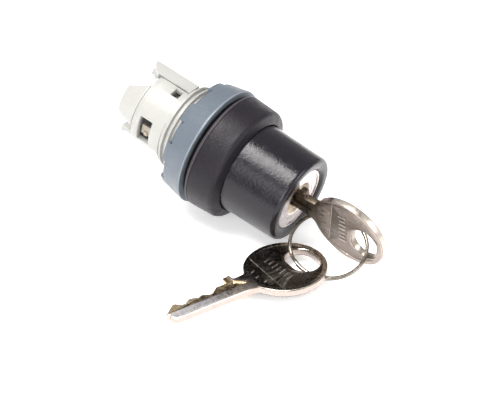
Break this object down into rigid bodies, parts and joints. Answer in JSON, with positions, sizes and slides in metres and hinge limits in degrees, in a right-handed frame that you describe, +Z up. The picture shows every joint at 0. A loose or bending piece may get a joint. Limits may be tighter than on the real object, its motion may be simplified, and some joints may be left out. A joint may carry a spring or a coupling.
{
  "type": "key-operated selector switch head",
  "caption": "Panel-mount key selector switch head with a round black bezel, grey ring nut, white barrel and two keys on a split ring.",
  "frame": {"origin": "on the switch's axis, in the plane where the panel's front face meets the gasket", "axes": "+Z up; the lowest point, the inserted key's bow, is at z = -17.4 mm; the switch's nose points along -Y and 11.7 degrees down; +X to the right of someone facing the key"},
  "size_m": [0.061, 0.0765, 0.0328],
  "materials": {
    "bezel_black": "fine spark-eroded moulded plastic",
    "shroud_black": "semi-gloss moulded plastic",
    "gasket_rubber": "matt",
    "white_moulding": "satin moulded plastic",
    "nut_grey": "satin moulded plastic",
    "catch_amber": "plain",
    "lock_nickel": "satin nickel plate",
    "wafer_brass": "stamped",
    "spring_steel": "plain",
    "cam_plastic": "satin",
    "key_nickel_silver": "pressed and milled nickel silver, worn",
    "ring_steel": "bright wire"
  },
  "bodies": {
    "head": {"front_bezel": "bezel_black", "lock_shroud": "shroud_black", "panel_gasket": "gasket_rubber", "threaded_barrel": "white_moulding", "ring_nut": "nut_grey", "latch_collar": "white_moulding", "long_tongue": "white_moulding", "short_tongue": "white_moulding", "wedge_lug_left": "white_moulding", "wedge_lug_right": "white_moulding", "window_catch": "catch_amber", "lock_body": "lock_nickel", "body_nut": "wafer_brass", "o_ring": "gasket_rubber", "detent_balls": "spring_steel", "detent_springs": "spring_steel"},
    "plug": {"lock_plug": "lock_nickel", "key_wafers": "wafer_brass", "wafer_springs": "spring_steel", "plug_driver": "spring_steel", "driver_screw": "spring_steel", "rotary_cam": "cam_plastic"},
    "upper_plunger": {"plunger_upper": "white_moulding"},
    "lower_plunger": {"plunger_lower": "white_moulding"},
    "key": {"key_in_lock": "key_nickel_silver"},
    "ring": {"key_ring": "ring_steel"},
    "spare": {"spare_key": "key_nickel_silver"}
  },
  "joints": [
    {"name": "key_turn", "type": "hinge", "parent": "head", "child": "plug", "pos_m": [0, 0, 0], "axis": [0, 0.9792, 0.203], "range_deg": [0, 90]},
    {"name": "key_withdraw", "type": "slide", "parent": "plug", "child": "key", "axis": [0, -0.9792, -0.203], "range_m": [0, 0.021]},
    {"name": "ring_swing", "type": "hinge", "parent": "key", "child": "ring", "pos_m": [-0.00278, -0.03474, -0.01215], "axis": [-0.471, 0.5459, 0.6929], "range_deg": [0, 50]},
    {"name": "spare_swing", "type": "hinge", "parent": "ring", "child": "spare", "pos_m": [-0.01108, -0.03139, -0.01408], "axis": [-0.04, 0.2019, 0.9786], "range_deg": [0, 40]},
    {"name": "upper_plunger_travel", "type": "slide", "parent": "head", "child": "upper_plunger", "axis": [0, 0.9792, 0.203], "range_m": [0, 0.0024]},
    {"name": "lower_plunger_travel", "type": "slide", "parent": "head", "child": "lower_plunger", "axis": [0, 0.9792, 0.203], "range_m": [0, 0.0024]}
  ],
  "couplings": [
    {"joint": "upper_plunger_travel", "follows": "key_turn", "m_per_rad": 0.001527},
    {"joint": "lower_plunger_travel", "follows": "key_turn", "m_per_rad": 0.001527}
  ]
}
